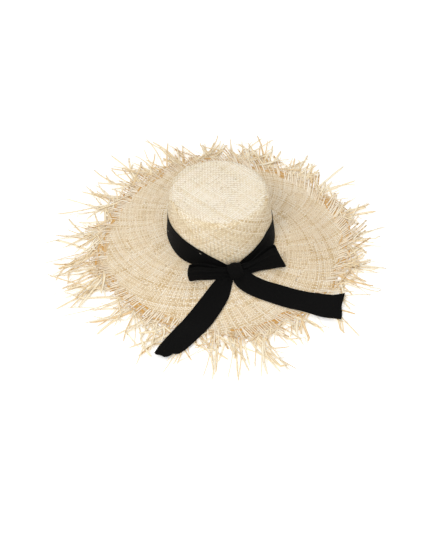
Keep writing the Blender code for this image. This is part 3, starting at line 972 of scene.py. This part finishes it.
def curve_through(points, parts):
    """Points at these fractions of a smooth curve through a few points (Catmull-Rom)."""
    points = np.asarray(points, float)
    spans = len(points) - 1
    padded = np.concatenate([[2 * points[0] - points[1]], points, [2 * points[-1] - points[-2]]])
    index = np.minimum((parts * spans).astype(int), spans - 1)
    t = (parts * spans - index)[:, None]
    p0, p1, p2, p3 = (padded[index + offset] for offset in range(4))
    bend = 2 * p0 - 5 * p1 + 4 * p2 - p3
    return 0.5 * (2 * p1 + (p2 - p0) * t + bend * t**2 + (3 * p1 - p0 - 3 * p2 + p3) * t**3)


def tail_edges(way):
    """(x, y) points along a tail's two long edges."""
    parts = np.linspace(0, 1, TAIL_ROWS)
    edges = [curve_through(edge, parts) for edge in TAIL_EDGES[way]]
    if way == "left":  # a dent just before the cut end
        edges[1][:, 1] += 0.003 * np.exp(-(((parts - 0.92) / 0.028) ** 2))
    return edges


def tail_grid(way):
    """A tail laid over the brim and the fringe, pleated where it comes out of the knot."""
    parts = np.linspace(0, 1, TAIL_ROWS)
    edges = tail_edges(way)
    share = np.linspace(0, 1, TAIL_COLUMNS)
    spot = edges[0][:, None] * (1 - share)[None, :, None] + edges[1][:, None] * share[None, :, None]
    # The cut end: a slant with a small notch on the left, nearly straight on the right.
    ahead = unit(spot[-1] - spot[-2])
    if way == "left":
        notch = 0.0009 * np.sin(share * 9) + 0.001 * np.sin(share * 3)
    else:
        notch = 0.001 * np.sin(share * 9) + 0.0016 * ease((share - 0.85) / 0.15)
    near_end = np.clip((parts - 0.94) / 0.06, 0, 1)[:, None]
    spot = spot + (near_end * notch[None, :])[..., None] * ahead[None]
    radius = np.hypot(spot[..., 0], spot[..., 1])
    angle = np.arctan2(spot[..., 0], -spot[..., 1])
    part, across = parts[:, None], share[None, :]
    neck = np.clip(1 - part / 0.34, 0, 1) ** 1.4
    folds = 2.5 if way == "left" else 2.0
    pleats = 0.0019 * neck * np.sin(TURN * (across * folds + 0.15 * np.sin(4 * part)))
    lift = 0.0062 * np.clip(1 - part / 0.12, 0, 1) ** 1.5 + 0.0034 * neck
    ripple = 0.0005 * np.sin(9 * part + 3 * across) + 0.0003 * np.sin(23 * part - 2 * across)
    far_side, far_rise = (across, 0.0065) if way == "right" else (1 - across, 0.003)
    curl = 0.0008 * (2 * across - 1) ** 4 + far_rise * far_side * part**4
    rise = 0.001 + 0.0014 * part**3 + pleats + lift + ripple * (1 - neck) + curl
    height = brim_middle(angle, np.minimum(radius, BRIM_RADIUS)) + SHELL / 2 + np.maximum(rise, 0.0006)
    return np.concatenate([spot, height[..., None]], -1)[:, ::-1]


def make_tail(way, material):
    grid = TAIL_GRIDS[way]
    body, node = f"tail_{way}", f"ribbon_tail_{way}"
    piece = cloth_piece(f"{body}_ribbon", grid, measured(grid), material, "ribbon", node, body=None)
    edges = tail_edges(way)
    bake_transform(piece)
    frayed_end(way, body, grid, material)


def frayed_end(way, body, grid, material):
    """Short threads along the cut end of a tail, and a few along its edges."""
    rng = np.random.default_rng(SEEDS[way])
    threads = Straw(SEEDS["fray"])
    rows, columns, _ = grid.shape
    ahead = unit(grid[-1] - grid[-3])
    for _ in range(END_THREADS):
        column = rng.integers(0, columns)
        start = grid[-1, column] - ahead[column] * 0.0008
        length = rng.uniform(0.001, 0.0026) * (1.7 if rng.random() < 0.12 else 1)
        fibre(threads, rng, start, ahead[column], length)
    outward = unit(grid[:, 0] - grid[:, 1]), unit(grid[:, -1] - grid[:, -2])
    for _ in range(SIDE_THREADS):
        row = rng.integers(rows // 3, rows - 1)
        which = rng.integers(0, 2)
        start = grid[row, -which]
        away = unit(outward[which][row] + 0.8 * rng.normal(0, 1) * unit(grid[row] - grid[row - 1])[0])
        fibre(threads, rng, start - away * 0.0004, away, rng.uniform(0.0006, 0.0014))
    name = f"tail_{way}_fray"
    mesh = new_mesh(name, threads.points, threads.faces)
    carry(mesh, "cloth", np.concatenate(threads.straw))
    placed(name, mesh, material, body, "ribbon")


def fibre(threads, rng, start, away, length):
    """A short curved thread that gets thinner towards its end."""
    stations = 4
    reach = np.linspace(0, length, stations)[:, None]
    drift = rng.normal(0, 0.25, 3) * [1, 1, 0.2]
    centres = start + away * reach + drift * reach**2 / length
    widths = np.linspace(0.00022, 0.00008, stations)
    normals = np.broadcast_to([0.0, 0.0, 1.0], (stations, 3))
    threads.lay_one(centres, normals, widths, 0.5, thickness=0.00016)


# ------------ sweatband and threads

def make_sweatband(material, thread):
    """Ribbed band inside the crown, and a row of stitches along its lower edge."""
    low, high = SWEAT_LOW.z, SWEAT_HIGH.z
    around, up = 432, 9
    angle = circle(around)
    share = np.linspace(0, 1, up)[None, :]
    height = low + (high - low) * share + 0.0002 * np.sin(6 * angle)
    rib = 0.00012 * np.where(np.arange(around)[:, None] % 3 == 0, 1.0, -0.5)
    wall = CROWN_RADIUS - CROWN_TAPER * (height - JUNCTION)
    radius = wall - SHELL - 0.001 + rib + 0.0003 * np.sin(4 * angle + 5 * share)
    grid = leaned(polar(angle, radius, height))
    cloth = together(angle * CROWN_RADIUS, share * 0.03)
    piece = cloth_piece(
        "inner_band", grid, cloth, material, "sweatband", "sweatband", closed=True, thickness=0.0007
    )
    stitches = Straw(SEEDS["stitches"])
    level = low + 0.0035
    face = CROWN_RADIUS - CROWN_TAPER * (level - JUNCTION) - SHELL - 0.0014
    for index in range(STITCHES):
        turn = TURN * (index + np.linspace(0.1, 0.78, 5) + stitches.rng.normal(0, 0.03)) / STITCHES
        bow = np.array([0.0, 0.00035, 0.00045, 0.00035, 0.0])
        rise = stitches.rng.normal(0, 0.00012) + np.linspace(-0.0001, 0.0001, 5)
        centres = polar(turn, face - bow + 0.0002, level + rise)
        stitches.lay_one(centres, rounded(turn, -1.0, 0.0), 0.00045, 0.5, thickness=0.0004)
    stitches.made("inner_band_stitches", thread, "pale_thread", "sweatband_stitching")


def make_tacks(thread):
    """Two short passes of thread over the band at each tack."""
    for which in ("front", "left", "right", "back"):
        node = f"ribbon_tack_{which}"
        low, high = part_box(node)
        centre = (low + high) / 2
        size = high - low
        angle = atan2(centre.x, -centre.y)
        flat = hypot(size.x, size.y)
        tilt = atan2(max(size.z - 0.0007, 0.0), flat)
        tack = Straw(SEEDS["tacks"])
        for offset in (-0.00022, 0.00022):
            along = np.linspace(-0.5, 0.5, 6)
            sideways = along * TACK_LENGTH * cos(tilt)
            bow = 0.0004 * (1 - (2 * along) ** 2)
            radius = hypot(centre.x, centre.y) - 0.0002 + bow
            turn = angle + sideways / radius
            height = centre.z - along * TACK_LENGTH * sin(tilt) + offset
            centres = leaned(polar(turn, radius, height))
            tack.lay_one(centres, rounded(turn, 1.0, 0.0), 0.00034, 0.5, thickness=0.0003)
        tack.made(f"tack_{which}", thread, "pale_thread", node)


# ------------ the hat

make_camera()
make_stage()
TAIL_GRIDS = {way: tail_grid(way) for way in ("left", "right")}
# Straw in four colours: dark, middle, pale and golden.
BRIM_STRAW = straw_look(
    "straw_weave", (0.65, 0.475, 0.25), (0.905, 0.775, 0.565), (0.98, 0.905, 0.765), (0.64, 0.34, 0.08)
)
CROWN_STRAW = straw_look(
    "crown_straw", (0.64, 0.48, 0.26), (0.86, 0.75, 0.54), (0.96, 0.895, 0.765), (0.62, 0.38, 0.14)
)
LOOSE_STRAW = straw_look(
    "loose_straw", (0.75, 0.55, 0.29), (0.91, 0.77, 0.53), (0.97, 0.9, 0.73), (0.7, 0.4, 0.12)
)
RIBBON = cloth_look("black_ribbon", (0.0018, 0.0018, 0.0018), (0.0044, 0.0042, 0.004), 0.0006, 0.9, 0.07)
INNER = cloth_look("sweatband_cotton", (0.5, 0.42, 0.31), (0.74, 0.66, 0.53), 0.0012, 0.9, 0.2)
THREAD = thread_look("thread", (0.62, 0.56, 0.45))
make_brim(BRIM_STRAW)
make_fringe(LOOSE_STRAW)
make_crown(CROWN_STRAW)
make_band(RIBBON)
make_knot(RIBBON)
for which in ("left", "right"):
    make_loop(which, RIBBON)
    make_tail(which, RIBBON)
make_sweatband(INNER, THREAD)
make_tacks(THREAD)
